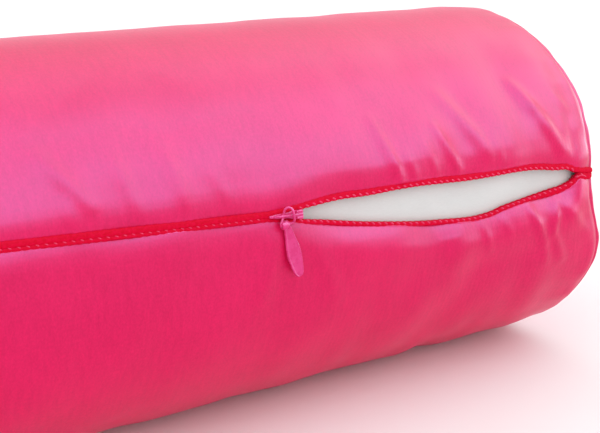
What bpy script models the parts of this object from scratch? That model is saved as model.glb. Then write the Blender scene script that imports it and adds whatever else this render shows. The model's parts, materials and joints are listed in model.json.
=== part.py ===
"""A small round bolster pillow in a removable zipped cover, as separate solids, in metres.

X runs along the bolster and +X is the end that the zip opens towards. The zip faces -Y, +Z is
up, and the origin is the centre of the flat that the bolster rests on.
"""

from math import acos, cos, degrees, pi, radians, sin

import bmesh
import bpy
from mathutils import Matrix, Vector

# Bolster
RADIUS = 0.076
FLATTENED = 0.0025
AXIS_Z = RADIUS - FLATTENED
FLAT_DEGREES = degrees(acos(AXIS_Z / RADIUS))
HALF_BARREL = 0.195
END_DROP = 0.0025
END_ROUND = 0.020
END_BULGE = 0.0057
END_RINGS = (1.0, 0.86, 0.6, 0.3)
TOUCH = 0.0003

# Layers, as depths below the cover's outer surface
COVER_WALL = 0.001
TAPE_DEPTH = 0.0015
TAPE_WALL = 0.0005
CASE_DEPTH = 0.0026
CASE_WALL = 0.0008
FILLING_DEPTH = 0.0038
HALF_CASE = 0.183
CASE_BULGE = 0.0075

# Zip line: it drifts down the barrel's front towards +X, and the slider stands at SLIDER_X
SLIDER_X = 0.0429
ZIP_ANGLE = 13.47
ZIP_DRIFT = -40.5
SLIT_START = -0.171
SLIT_END = 0.192
MOUTH_START = 0.0492
MOUTH_END = 0.1905
CLOSED_HALF_GAP = 0.0005
COIL_WIDTH = 0.0014
COIL_HIGH = 0.0012
COIL_STANDS = 0.0001
TAPE_WIDTH = 0.011
STOP_LENGTH = 0.0016

# How far each lip stands off the zip line, as (share of the mouth's length, metres)
UPPER_LIP = ((0.0, 0.0016), (0.3, 0.0054), (0.6, 0.0078), (0.8, 0.0087), (0.93, 0.006), (1.0, 0.0005))
LOWER_LIP = ((0.0, 0.0019), (0.25, 0.0059), (0.52, 0.0096), (0.75, 0.0075), (0.93, 0.003), (1.0, 0.0005))

# Slider and pull, in the slider's own frame: X along the zip, Y up the barrel, Z out of it
SLIDER_LENGTH = 0.0130
SLIDER_FLOOR = 0.00035
SLIDER_PLATE = 0.0007
PLATE_HALF_WIDTHS = (
    (-0.0065, 0.0004),
    (-0.0030, 0.0008),
    (0.0010, 0.0010),
    (0.0036, 0.0016),
    (0.0065, 0.0016),
)
NOSE_HALF_WIDTHS = ((0.0034, 0.0014), (0.0058, 0.0017), (0.0064, 0.0014))
NOSE_OUT = 0.0024
RIDGES_APART = 0.0011
RIDGE_RADIUS = 0.00042
RIDGE_LINE = ((0.0036, 0.0024), (0.0062, 0.0023))
KEEL_HALF_WIDTHS = ((-0.003, 0.0004), (0.0036, 0.0004))
BAR_OUT = 0.003
BAR_RADIUS = 0.0004
BAR_LINE = ((-0.0054, 0.0008), (-0.0046, 0.0018), (-0.0036, BAR_OUT), (0.0, BAR_OUT), (0.0042, BAR_OUT))
SUNK_IN = 0.0002
RING_WIRE = 0.00048
RING_OUT = 0.0019
RING_SKEW = 0.0012
RING_FOOT = (-0.0010, -0.0031)
RING_STRAIGHT = 0.0016
COLLAR_RADIUS = 0.0014
COLLAR_BORE = 0.0008
COLLAR_WIDTH = 0.0026
TAB_THICK = 0.0009
TAB_LENGTH = 0.0198
TAB_SLOPE = 6.5
TAB_LEAN = 15.0
BLADE_SHIFT = 0.0005
BLADE_HALF_WIDTHS = (
    (0.0011, 0.0015),
    (0.0030, 0.0017),
    (0.0050, 0.0020),
    (0.0090, 0.0028),
    (0.0120, 0.00295),
    (0.0152, 0.0025),
    (0.0175, 0.0019),
    (0.0192, 0.0012),
)
TIP_HALF_WIDTH = 0.0006

PINK = (0.80, 0.06, 0.20, 1.0)
DEEP_PINK = (0.70, 0.02, 0.08, 1.0)
WHITE = (0.80, 0.79, 0.77, 1.0)
CREAM = (0.86, 0.84, 0.78, 1.0)


def clear_scene():
    for item in list(bpy.data.objects):
        bpy.data.objects.remove(item, do_unlink=True)


def make_material(name, colour, roughness, metallic=0.0):
    material = bpy.data.materials.new(name)
    material.use_nodes = True
    shader = material.node_tree.nodes["Principled BSDF"]
    shader.inputs["Base Color"].default_value = colour
    shader.inputs["Roughness"].default_value = roughness
    shader.inputs["Metallic"].default_value = metallic
    return material


def make_object(name, bm, material, smooth=True):
    bmesh.ops.recalc_face_normals(bm, faces=bm.faces)
    mesh = bpy.data.meshes.new(name)
    bm.to_mesh(mesh)
    bm.free()
    mesh.materials.append(material)
    if smooth:
        mesh.shade_smooth()
        mesh.set_sharp_from_angle(angle=radians(35))
    made = bpy.data.objects.new(name, mesh)
    bpy.context.collection.objects.link(made)
    return made


def as_cutter(item):
    item.hide_render = True
    item.display_type = "WIRE"
    return item


def join_to(body, tool):
    joint = body.modifiers.new("join " + tool.name, "BOOLEAN")
    joint.operation = "UNION"
    joint.solver = "EXACT"
    joint.object = as_cutter(tool)


def thicken(item, wall):
    solid = item.modifiers.new("wall", "SOLIDIFY")
    solid.thickness = wall
    solid.offset = -1.0
    solid.use_even_offset = True


# ---- Shape of the barrel -------------------------------------------------------------------


def barrel_point(x, degrees, depth=0.0):
    """A point on the bolster; degrees count up from the front over the top, depth is inward."""
    from_end = min(1.0, (HALF_BARREL - abs(x)) / END_ROUND)
    radius = RADIUS - depth - END_DROP * (1 - from_end) ** 2
    angle = radians(degrees)
    height = AXIS_Z + radius * sin(angle)
    return Vector((x, -radius * cos(angle), max(height, depth)))


def zip_degrees(x):
    return ZIP_ANGLE + ZIP_DRIFT * (x - SLIDER_X)


def curve_value(points, at):
    """Height of a smooth curve through points, a cubic with slopes taken from its neighbours."""
    if at <= points[0][0]:
        return points[0][1]
    if at >= points[-1][0]:
        return points[-1][1]
    last = len(points) - 1
    i = max(k for k in range(last) if points[k][0] <= at)
    slopes = []
    for k in (i, i + 1):
        before, after = points[max(k - 1, 0)], points[min(k + 1, last)]
        slopes.append((after[1] - before[1]) / (after[0] - before[0]))
    width = points[i + 1][0] - points[i][0]
    t = (at - points[i][0]) / width
    start = (2 * t**3 - 3 * t**2 + 1) * points[i][1] + (t**3 - 2 * t**2 + t) * width * slopes[0]
    end = (3 * t**2 - 2 * t**3) * points[i + 1][1] + (t**3 - t**2) * width * slopes[1]
    return start + end


def lip_offset(x, side):
    """Distance of a zip edge from the zip line: side is 1 for the upper lip, -1 for the lower."""
    if x <= SLIDER_X - SLIDER_LENGTH / 2 or x >= MOUTH_END:
        return CLOSED_HALF_GAP
    lip = UPPER_LIP if side > 0 else LOWER_LIP
    if x < MOUTH_START:
        tail = SLIDER_X - SLIDER_LENGTH / 2
        share = (x - tail) / (MOUTH_START - tail)
        return CLOSED_HALF_GAP + share * (lip[0][1] - CLOSED_HALF_GAP)
    return curve_value(lip, (x - MOUTH_START) / (MOUTH_END - MOUTH_START))


def lip_degrees(x, side, beyond=0.0):
    """Angle of a line that runs along a lip, beyond metres away from the mouth."""
    return zip_degrees(x) + side * (lip_offset(x, side) + beyond) / RADIUS * 180 / pi


def steps(start, end, count):
    return [start + (end - start) * i / count for i in range(count + 1)]


def mouth_stations():
    """Places along X where the lips are drawn, closer together at the mouth's blunt end."""
    length = MOUTH_END - MOUTH_START
    return [MOUTH_START + length * (1 - (1 - i / 13) ** 1.35) for i in range(14)]


def end_stations(half, side):
    places = [side * (half - END_ROUND * share) for share in (0, 0.15, 0.4, 0.7, 1.0)]
    return sorted(places)


def around(first, last):
    """Angles from the upper lip over the top, round the back and under, to the lower lip."""
    upper = steps(first, 45, 4)
    over = steps(45, 270 - FLAT_DEGREES, 20)[1:]
    under = steps(270 - FLAT_DEGREES, 270 + FLAT_DEGREES, 3)[1:]
    front = steps(270 + FLAT_DEGREES, 340, 5)[1:]
    lower = steps(340, last, 4)[1:]
    return [*upper, *over, *under, *front, *lower]


# ---- Cover ---------------------------------------------------------------------------------


def slit_half(x, side):
    """Angle of the cover's cut edge, or of the zip line itself past the ends of the slit."""
    if x <= SLIT_START or x >= SLIT_END:
        return zip_degrees(x)
    return lip_degrees(x, side, COIL_WIDTH + TOUCH)


def barrel_stations():
    inside = [SLIT_START + 0.002, -0.11, -0.04, SLIDER_X - SLIDER_LENGTH / 2]
    ends = end_stations(HALF_BARREL, -1) + [HALF_BARREL]
    return sorted({*ends, SLIT_START, *inside, *mouth_stations(), SLIT_END})


def make_cover_barrel(material):
    bm = bmesh.new()
    columns = []
    for x in barrel_stations():
        first, last = slit_half(x, 1), 360 + slit_half(x, -1)
        closed = x <= SLIT_START or x >= SLIT_END
        angles = around(first, last)
        points = [bm.verts.new(barrel_point(x, a)) for a in (angles[:-1] if closed else angles)]
        columns.append(points + points[:1] if closed else points)
    for left, right in zip(columns, columns[1:]):
        for j in range(len(left) - 1):
            corners = [left[j], right[j], right[j + 1], left[j + 1]]
            bm.faces.new(list(dict.fromkeys(corners)))
    cover = make_object("cover_barrel", bm, material)
    thicken(cover, COVER_WALL)
    return cover


def dome(name, material, half, bulge, side, depth, wall):
    """A round end panel that bulges along X, open on its inner side."""
    angles = around(ZIP_ANGLE, 360 + ZIP_ANGLE)[:-1]
    centre = Vector((0, 0, AXIS_Z))
    bm = bmesh.new()
    loops = []
    for share in END_RINGS:
        x = side * (half + bulge * (1 - share**2))
        rim = [barrel_point(min(half, HALF_BARREL), a, depth) for a in angles]
        flat = [centre + share * (Vector((0, p.y, p.z)) - centre) for p in rim]
        loops.append([bm.verts.new((x, p.y, p.z)) for p in flat])
    tip = bm.verts.new((side * (half + bulge), 0, AXIS_Z))
    count = len(angles)
    for outer, inner in zip(loops, loops[1:]):
        for j in range(count):
            k = (j + 1) % count
            bm.faces.new([outer[j], outer[k], inner[k], inner[j]][::side])
    for j in range(count):
        bm.faces.new([loops[-1][j], loops[-1][(j + 1) % count], tip][::side])
    mesh = bpy.data.meshes.new(name)
    bm.to_mesh(mesh)
    bm.free()
    mesh.materials.append(material)
    mesh.shade_smooth()
    panel = bpy.data.objects.new(name, mesh)
    bpy.context.collection.objects.link(panel)
    thicken(panel, wall)
    return panel


def full_ring(bm, x, depth, angles):
    return [bm.verts.new(barrel_point(x, a, depth)) for a in angles]


def open_tube(name, material, half, depth, wall):
    """A plain tube with the barrel's section, open at both ends."""
    angles = around(ZIP_ANGLE, 360 + ZIP_ANGLE)[:-1]
    bm = bmesh.new()
    left, right = [full_ring(bm, x, depth, angles) for x in (-half, half)]
    for j in range(len(angles)):
        k = (j + 1) % len(angles)
        bm.faces.new([left[j], right[j], right[k], left[k]])
    tube = make_object(name, bm, material)
    thicken(tube, wall)
    return tube


def make_filling(material):
    angles = around(ZIP_ANGLE, 360 + ZIP_ANGLE)[:-1]
    bm = bmesh.new()
    half = HALF_CASE - TOUCH
    rings = [full_ring(bm, x, FILLING_DEPTH, angles) for x in (-half, half)]
    for j in range(len(angles)):
        k = (j + 1) % len(angles)
        bm.faces.new([rings[0][j], rings[1][j], rings[1][k], rings[0][k]])
    bm.faces.new(rings[0][::-1])
    bm.faces.new(rings[1])
    return make_object("filling_roll", bm, material)


# ---- Zip -----------------------------------------------------------------------------------


def strip_along_lip(name, material, side, stations, near, wide, top_depth, high):
    """A strip of cloth or coil that follows one lip: near and wide are distances from its edge."""
    bm = bmesh.new()
    across = steps(near, near + wide, max(1, round(wide / 0.004)))
    columns = []
    for x in stations:
        angles = [lip_degrees(x, side, beyond) for beyond in across]
        top = [bm.verts.new(barrel_point(x, a, top_depth)) for a in angles]
        bottom = [bm.verts.new(barrel_point(x, a, top_depth + high)) for a in angles]
        columns.append(top + bottom[::-1])
    for left, right in zip(columns, columns[1:]):
        for j in range(len(left)):
            k = (j + 1) % len(left)
            bm.faces.new([left[j], right[j], right[k], left[k]])
    bm.faces.new(columns[0])
    bm.faces.new(columns[-1][::-1])
    return make_object(name, bm, material)


def zip_stations(start, end):
    inside = [-0.11, -0.04, SLIDER_X - SLIDER_LENGTH / 2]
    mouth = [x for x in mouth_stations() if x < end - 0.001]
    return [start, *inside, *mouth, end]


def make_stop(name, material, x, side, wide):
    """A small metal stop, clipped across the end of the coil."""
    bm = bmesh.new()
    bmesh.ops.create_cube(bm, size=1.0)
    angle = zip_degrees(x) + side * (CLOSED_HALF_GAP + wide / 2) / RADIUS * 180 / pi
    place = Matrix.Translation(barrel_point(x, angle, COIL_HIGH / 2))
    turn = Matrix.Rotation(radians(angle), 4, "X").inverted()
    size = Matrix.Diagonal((STOP_LENGTH, COIL_HIGH, wide, 1.0))
    bmesh.ops.transform(bm, matrix=place @ turn @ size, verts=bm.verts)
    bmesh.ops.bevel(bm, geom=bm.edges, offset=0.0002, segments=1, affect="EDGES")
    return make_object(name, bm, material, smooth=False)


def make_zip(tape, coil, metal):
    coil_start = SLIT_START + 0.0052
    coil_end = SLIT_END - STOP_LENGTH - 0.004
    for word, side in (("upper", 1), ("lower", -1)):
        stations = zip_stations(SLIT_START + TOUCH, SLIT_END - 0.002)
        strip_along_lip("zip_tape_" + word, tape, side, stations, 0.0, TAPE_WIDTH, TAPE_DEPTH, TAPE_WALL)
        stations = zip_stations(coil_start, coil_end)
        strip_along_lip(
            "zip_coil_" + word, coil, side, stations, 0.0, COIL_WIDTH, -COIL_STANDS, COIL_HIGH
        )
        make_stop("top_stop_" + word, metal, coil_end + STOP_LENGTH / 2 + 0.001, side, COIL_WIDTH)
    make_stop("bottom_stop", metal, coil_start - TOUCH - STOP_LENGTH / 2, 0, 2.6 * COIL_WIDTH)


# ---- Slider and pull -----------------------------------------------------------------------


def slider_frame():
    """Places the slider's frame: X along the zip, Y up the barrel, Z straight out of it."""
    angle = radians(ZIP_ANGLE)
    out = Vector((0, -cos(angle), sin(angle)))
    round_barrel = Vector((0, sin(angle), cos(angle)))
    drift = RADIUS * radians(ZIP_DRIFT)
    along = (Vector((1, 0, 0)) + drift * round_barrel).normalized()
    frame = Matrix((along, out.cross(along), out)).transposed().to_4x4()
    frame.translation = barrel_point(SLIDER_X, ZIP_ANGLE)
    return frame


def sweep(bm, points, radius, sides, closed):
    """A round wire through points, with flat ends unless it is closed."""
    count = len(points)
    rings = []
    side = None
    for i, point in enumerate(points):
        before = points[(i - 1) % count] if closed or i else point
        after = points[(i + 1) % count] if closed or i < count - 1 else point
        tangent = (after - before).normalized()
        guess = side if side else tangent.orthogonal()
        side = (guess - tangent * guess.dot(tangent)).normalized()
        other = tangent.cross(side)
        turns = [2 * pi * k / sides for k in range(sides)]
        rings.append([bm.verts.new(point + radius * (cos(a) * side + sin(a) * other)) for a in turns])
    pairs = list(zip(rings, rings[1:]))
    if closed:
        pairs.append((rings[-1], rings[0]))
    for ring, following in pairs:
        offset = nearest_start(ring, following) if following is rings[0] else 0
        for k in range(sides):
            m = (k + offset) % sides
            n = (k + 1 + offset) % sides
            bm.faces.new([ring[k], ring[(k + 1) % sides], following[n], following[m]])
    if not closed:
        bm.faces.new(rings[0][::-1])
        bm.faces.new(rings[-1])


def nearest_start(ring, following):
    """How many places to turn the last ring of a closed wire so that it meets the first."""
    return min(range(len(following)), key=lambda m: (following[m].co - ring[0].co).length)


def smooth_loop(corners, count):
    """Points on a closed curve through corners."""
    points = []
    total = len(corners)
    for i in range(total):
        a, b, c, d = (corners[(i + k) % total] for k in (-1, 0, 1, 2))
        for step in range(count):
            t = step / count
            bend = (c - a) * t + (2 * a - 5 * b + 4 * c - d) * t**2 + (3 * b - a - 3 * c + d) * t**3
            points.append(b + 0.5 * bend)
    return points


def extruded(bm, outline, low, high):
    """A prism from a flat outline of (x, y) points."""
    bottom = [bm.verts.new((p[0], p[1], low)) for p in outline]
    top = [bm.verts.new((p[0], p[1], high)) for p in outline]
    bm.faces.new(bottom[::-1])
    bm.faces.new(top)
    for j in range(len(outline)):
        k = (j + 1) % len(outline)
        bm.faces.new([bottom[j], bottom[k], top[k], top[j]])


def mirrored(half_outline):
    """A closed outline from the (along, half width) points of one side."""
    return [(x, w) for x, w in half_outline] + [(x, -w) for x, w in reversed(half_outline)]


def in_frame(bm, name, material, frame, smooth=True):
    bmesh.ops.transform(bm, matrix=frame, verts=bm.verts)
    return make_object(name, bm, material, smooth)


def prism(name, material, frame, half_widths, low, high):
    """A flat-topped block whose sides follow (along, half width) points."""
    bm = bmesh.new()
    extruded(bm, mirrored(half_widths), low, high)
    return in_frame(bm, name, material, frame)


def straight_wire(name, material, frame, line, across, radius):
    """A round wire through the (along, out) points of line, set across from the middle."""
    bm = bmesh.new()
    sweep(bm, [Vector((x, across, out)) for x, out in line], radius, 8, closed=False)
    return in_frame(bm, name, material, frame)


def make_slider(material, frame):
    plate_top = SLIDER_FLOOR + SLIDER_PLATE
    keel_top = SLIDER_FLOOR + SUNK_IN
    body = prism("slider_body", material, frame, PLATE_HALF_WIDTHS, SLIDER_FLOOR, plate_top)
    join_to(body, prism("nose", material, frame, NOSE_HALF_WIDTHS, plate_top - SUNK_IN, NOSE_OUT))
    for number in (-1, 0, 1):
        across = number * RIDGES_APART
        ridge = straight_wire(f"ridge_{number + 2}", material, frame, RIDGE_LINE, across, RIDGE_RADIUS)
        join_to(body, ridge)
    join_to(body, straight_wire("bar", material, frame, BAR_LINE, 0, BAR_RADIUS))
    join_to(body, prism("keel", material, frame, KEEL_HALF_WIDTHS, -COIL_HIGH, keel_top))
    return body


def make_ring(material, frame):
    """The twisted wire ring: it goes behind the slider's bar on the left and over it on the right."""
    low, high = BAR_OUT - RING_SKEW, BAR_OUT + RING_SKEW
    foot = Vector((*RING_FOOT, RING_OUT))
    lean = radians(TAB_LEAN)
    reach = RING_STRAIGHT * Vector((cos(lean), sin(lean), 0))
    corners = [
        foot - reach,
        foot,
        foot + reach,
        Vector((0.0018, -0.0027, RING_OUT)),
        Vector((0.0023, -0.0019, RING_OUT + 0.0008)),
        Vector((0.0015, 0, high)),
        Vector((0.0010, 0.0021, high - 0.0001)),
        Vector((0, 0.0029, BAR_OUT + 0.0001)),
        Vector((-0.0010, 0.0021, low + 0.0004)),
        Vector((-0.0015, 0, low)),
        Vector((-0.0029, -0.0013, low)),
        Vector((-0.0036, -0.0023, low)),
        Vector((-0.0035, -0.0033, RING_OUT - 0.0001)),
    ]
    bm = bmesh.new()
    sweep(bm, smooth_loop(corners, 3), RING_WIRE, 8, closed=True)
    return in_frame(bm, "pull_ring", material, frame)


def tab_frame(frame):
    """The tab's frame at rest: X along its collar, -Y down its length, Z out of its face."""
    place = Matrix.Translation((*RING_FOOT, RING_OUT))
    lean = Matrix.Rotation(radians(TAB_LEAN), 4, "Z")
    slope = Matrix.Rotation(radians(TAB_SLOPE), 4, "X")
    return frame @ place @ lean @ slope


def make_tab(material, frame):
    bm = bmesh.new()
    sides = 16
    turns = [2 * pi * (k + 0.5) / sides for k in range(sides)]
    rings = []
    for x, radius in ((-1, COLLAR_RADIUS), (1, COLLAR_RADIUS), (1, COLLAR_BORE), (-1, COLLAR_BORE)):
        at = x * COLLAR_WIDTH / 2
        rings.append([bm.verts.new((at, radius * cos(a), radius * sin(a))) for a in turns])
    for ring, following in zip(rings, rings[1:] + rings[:1]):
        for j in range(sides):
            k = (j + 1) % sides
            bm.faces.new([ring[j], ring[k], following[k], following[j]])
    collar = in_frame(bm, "tab_collar", material, frame)
    bm = bmesh.new()
    downs = steps(BLADE_HALF_WIDTHS[0][0], BLADE_HALF_WIDTHS[-1][0], 14)
    shape = [(down, curve_value(BLADE_HALF_WIDTHS, down)) for down in downs]
    shape.append((TAB_LENGTH, TIP_HALF_WIDTH))
    outline = [(BLADE_SHIFT - wide, -down) for down, wide in shape]
    outline += [(BLADE_SHIFT + wide, -down) for down, wide in reversed(shape)]
    extruded(bm, outline, -TAB_THICK / 2, TAB_THICK / 2)
    blade = in_frame(bm, "pull_tab", material, frame)
    join_to(blade, collar)
    return blade


def main():
    clear_scene()
    sateen = make_material("sateen", PINK, 0.45)
    tape = make_material("zip_tape", DEEP_PINK, 0.75)
    coil = make_material("zip_coil", DEEP_PINK, 0.55)
    lacquer = make_material("lacquered_metal", PINK, 0.3)
    cotton = make_material("white_cotton", WHITE, 0.85)
    fibre = make_material("filling_fibre", CREAM, 0.95)

    make_cover_barrel(sateen)
    for word, side in (("right", 1), ("left", -1)):
        rim = HALF_BARREL + TOUCH + COVER_WALL
        dome("end_panel_" + word, sateen, rim, END_BULGE, side, 0.0, COVER_WALL)
        rim = HALF_CASE + TOUCH + CASE_WALL
        dome("pillow_end_" + word, cotton, rim, CASE_BULGE, side, CASE_DEPTH, CASE_WALL)
    open_tube("pillow_barrel", cotton, HALF_CASE, CASE_DEPTH, CASE_WALL)
    make_filling(fibre)
    make_zip(tape, coil, lacquer)

    frame = slider_frame()
    make_slider(lacquer, frame)
    make_ring(lacquer, frame)
    make_tab(lacquer, tab_frame(frame))


main()
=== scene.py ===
import json
from math import atan2, cos, degrees, pi, radians, sin

import bpy
import numpy as np
from mathutils import Matrix, Vector


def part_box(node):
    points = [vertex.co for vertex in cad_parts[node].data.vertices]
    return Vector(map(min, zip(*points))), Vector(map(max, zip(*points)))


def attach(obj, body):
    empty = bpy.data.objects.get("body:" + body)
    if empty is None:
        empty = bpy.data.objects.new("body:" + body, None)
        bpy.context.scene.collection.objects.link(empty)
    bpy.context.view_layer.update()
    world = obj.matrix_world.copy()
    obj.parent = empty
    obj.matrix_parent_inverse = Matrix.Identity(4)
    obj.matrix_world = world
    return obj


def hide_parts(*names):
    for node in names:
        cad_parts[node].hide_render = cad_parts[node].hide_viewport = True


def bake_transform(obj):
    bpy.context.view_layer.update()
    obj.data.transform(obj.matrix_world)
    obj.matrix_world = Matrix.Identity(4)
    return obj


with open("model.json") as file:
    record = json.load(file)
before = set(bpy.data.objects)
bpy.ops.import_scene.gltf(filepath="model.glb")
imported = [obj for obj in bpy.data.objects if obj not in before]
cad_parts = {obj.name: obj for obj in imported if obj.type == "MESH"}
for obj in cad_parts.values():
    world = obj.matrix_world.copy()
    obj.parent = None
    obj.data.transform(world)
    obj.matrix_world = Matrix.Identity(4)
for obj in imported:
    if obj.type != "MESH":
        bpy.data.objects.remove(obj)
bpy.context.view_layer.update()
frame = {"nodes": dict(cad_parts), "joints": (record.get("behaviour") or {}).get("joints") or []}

# Places and directions of the CAD model. Angles on the barrel count up from the front, -Y, over
# the top, in degrees; a lift is a distance out from the barrel's surface, in metres.
JOINTS = {joint["name"]: joint for joint in frame["joints"]}
ALONG = Vector(JOINTS["slider_travel"]["axis"]).normalized()
BAR = Vector(JOINTS["ring_rock"]["pos_m"])
HINGE = Vector(JOINTS["tab_flip"]["pos_m"])
TAB_ACROSS = -Vector(JOINTS["tab_flip"]["axis"]).normalized()
AXIS_Z = JOINTS["upper_lip_turn"]["pos_m"][2]
RADIUS = -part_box("cover_barrel")[0].y
HALF_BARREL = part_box("cover_barrel")[1].x
SLIDER_X = BAR.x
ROUND_BARREL = -Vector((0, ALONG.y, ALONG.z)).normalized()
OUT = Vector((0, -ROUND_BARREL.z, ROUND_BARREL.y))
ZIP_ANGLE = degrees(atan2(ROUND_BARREL.y, ROUND_BARREL.z))
ZIP_DRIFT = -degrees(Vector((0, ALONG.y, ALONG.z)).length / ALONG.x / RADIUS)
SLIT_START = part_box("zip_tape_upper")[0].x
SLIT_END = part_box("zip_tape_upper")[1].x
MOUTH_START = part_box("slider_body")[1].x
PILLOW_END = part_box("pillow_barrel")[1].x
LIP_TURN = radians(JOINTS["upper_lip_turn"]["range_deg"][1])

# Cover
FLOOR = 0.0002
END_SEAM = HALF_BARREL + 0.0004
END_DROP = 0.0016
END_ROUND = 0.020
SEAM_DIP = 0.0014
SEAM_WIDE = 0.0035
PANEL_BULGE = 0.0072
# (degrees round the right end, metres that its seam stands out along X)
SEAM_STANDS_OUT = (
    (-110, 0.0), (-80, 0.0020), (-60, 0.0040), (-45, 0.0040), (-35, 0.0045), (-27, 0.0060), (-20, 0.0070),
    (-13, 0.0060), (-8, 0.0042), (-3, 0.0018), (1, 0.0002), (6, 0.0001), (14, 0.0006), (24, 0.0014),
    (32, 0.0024), (45, 0.0015), (60, 0.0003), (80, 0.0), (110, 0.0),
)
BELLY_HIGH = 0.0042
BELLY_ANGLE = -31.0
BELLY_WIDE = 24.0
BELLY_LONG = 0.065
BELLY_TOP = -18.0
BELLY_FADE = 24.0
CLOSED_GAP = 0.0005
LEAST_GAP = 0.00005
CLOSED_OVERLAP = 0.0004
CLOSED_REVEAL = {1: 0.0017, -1: 0.0009}
OPEN_REVEAL = {1: 0.0019, -1: 0.0013}
EDGE_ROLL = {1: 0.0012, -1: 0.0006}
LIP_SINK = 0.0020
# (x, metres that a lip's edge stands further from the zip line than the CAD tape)
LIP_TRIM = {
    1: ((0.050, 0.0), (0.070, 0.0), (0.078, -0.0006), (0.096, -0.0008), (0.106, -0.0011), (0.115, -0.0016),
        (0.125, -0.0021), (0.146, -0.0022), (0.157, -0.0020), (0.167, -0.0020), (0.173, -0.0020),
        (0.1754, -0.0018), (0.179, -0.0009), (0.181, -0.0003), (0.183, 0.0003), (0.185, 0.0011),
        (0.187, 0.0018), (0.190, 0.0018)),
    -1: ((0.060, 0.0), (0.078, 0.0007), (0.096, 0.0007), (0.106, 0.0004), (0.115, 0.0), (0.135, 0.0),
         (0.141, -0.0005), (0.146, -0.0015), (0.151, -0.0020), (0.157, -0.0024), (0.162, -0.0027),
         (0.168, -0.0027), (0.173, -0.0026), (0.179, -0.0024), (0.181, -0.0028), (0.183, -0.0033),
         (0.185, -0.0040), (0.187, -0.0051), (0.190, -0.0056)),
}
COARSE = 0.0034
FINE = 0.0014
SEAM_FINE = 0.0004
CLOTH_CAP = 0.0022
BLOW_FRAMES = 20
# Arcs of cloth from the upper lip over the top, and from the lower lip, to the underside
ARC_OVER = 0.340
ARC_UNDER = 0.137
# Degrees round the barrel over which the cloth stops following its lip
LIP_FADE = 65.0

# Zip
TAPE_DEPTH = 0.0010
TAPE_HIGH = 0.0011
TAPE_UNDER = 0.0007
STITCH_PITCH = 0.0029
STITCH_REACH = 0.0007
COIL_PITCH = 0.0014
COIL_STEPS = 8
COIL_ROUND = 0.0006
COIL_DEPTH = 0.0023
COIL_WIRE = 0.00027
RING_WIRE = 0.00044
STOP_SUNK = 0.0024
# (x, degrees that the zip line rises towards its right end)
END_RISE = (
    (0.160, 0.0), (0.165, 0.1), (0.170, 0.3), (0.176, 0.75), (0.180, 1.2), (0.183, 1.75), (0.185, 2.3),
    (0.187, 2.85), (0.190, 2.75), (0.196, 2.6),
)

CAMERA_PLACE = Vector((-0.151, -0.3905, 0.2012))
CAMERA_FORWARD = Vector((0.5126, 0.8100, -0.2848))
CAMERA_LENS = 66.34


# ---- Helpers ---------------------------------------------------------------------------------


def smooth_step(t):
    t = np.clip(t, 0.0, 1.0)
    return t * t * (3 - 2 * t)


def cubic(places, values, at):
    """Values at new places, read along the first axis of the values known at some places."""
    slopes = np.gradient(values, places, axis=0)
    i = np.clip(np.searchsorted(places, at, side="right") - 1, 0, len(places) - 2)
    shape = np.shape(at) + (1,) * (values.ndim - 1)
    wide = np.reshape(places[i + 1] - places[i], shape)
    t = np.reshape(at - places[i], shape) / wide
    start = (2 * t**3 - 3 * t**2 + 1) * values[i] + (t**3 - 2 * t**2 + t) * wide * slopes[i]
    end = (3 * t**2 - 2 * t**3) * values[i + 1] + (t**3 - t**2) * wide * slopes[i + 1]
    return start + end


def smooth_through(points, at):
    """Height at each place of a smooth curve through (place, height) points, level past its ends."""
    xs, ys = np.array(points, float).T
    return cubic(xs, ys, np.clip(at, xs[0], xs[-1]))


def barrel(x, angle, lift=0.0):
    """Points on the bolster's own round form, resting on the floor."""
    x, angle, lift = np.broadcast_arrays(*(np.asarray(v, float) for v in (x, angle, lift)))
    from_end = np.clip((HALF_BARREL - np.abs(x)) / END_ROUND, 0, 1)
    radius = RADIUS + lift - END_DROP * (1 - from_end) ** 2
    turn = np.radians(angle)
    height = AXIS_Z + radius * np.sin(turn)
    return np.stack((x, -radius * np.cos(turn), np.maximum(height, FLOOR)), axis=-1)


def outward(angle):
    turn = np.radians(np.asarray(angle, float))
    return np.stack((np.zeros_like(turn), -np.cos(turn), np.sin(turn)), axis=-1)


def zip_angle(x):
    x = np.asarray(x, float)
    return ZIP_ANGLE + ZIP_DRIFT * (x - SLIDER_X) + smooth_through(END_RISE, x)


def add_object(name, data):
    made = bpy.data.objects.new(name, data)
    bpy.context.collection.objects.link(made)
    return made


def add_mesh(name, points, faces, material):
    mesh = bpy.data.meshes.new(name)
    mesh.from_pydata(np.asarray(points, float).tolist(), [], faces)
    mesh.validate()
    mesh.materials.append(material)
    mesh.shade_smooth()
    return add_object(name, mesh)


def add_node_copy(name, node, material):
    """A CAD solid's own mesh as a new piece, in the given material."""
    mesh = frame["nodes"][node].data.copy()
    mesh.materials.clear()
    mesh.materials.append(material)
    return add_object(name, mesh)


def grid_faces(rows, columns, wrap=False):
    """Quads between neighbouring rows; wrap joins the last column to the first."""
    faces = []
    for i in range(rows - 1):
        for j in range(columns if wrap else columns - 1):
            k = (j + 1) % columns
            faces.append((i * columns + j, (i + 1) * columns + j, (i + 1) * columns + k, i * columns + k))
    return faces


def graded(start, end, step, fine, zone):
    """Stations from start to end, fine apart at both ends and growing to step within zone."""
    ramp = [0.0]
    while ramp[-1] < zone:
        ramp.append(ramp[-1] + fine + (step - fine) * ramp[-1] / zone)
    middle = end - start - 2 * ramp[-1]
    count = max(1, round(middle / step))
    inner = [start + ramp[-1] + middle * i / count for i in range(1, count)]
    return np.array([start + r for r in ramp] + inner + [end - r for r in reversed(ramp)])


def coordinates(item):
    flat = np.zeros(len(item.data.vertices) * 3)
    item.data.vertices.foreach_get("co", flat)
    return flat.reshape(-1, 3)


def set_coordinates(item, points):
    item.data.vertices.foreach_set("co", np.asarray(points, float).ravel())
    item.data.update()


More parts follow.
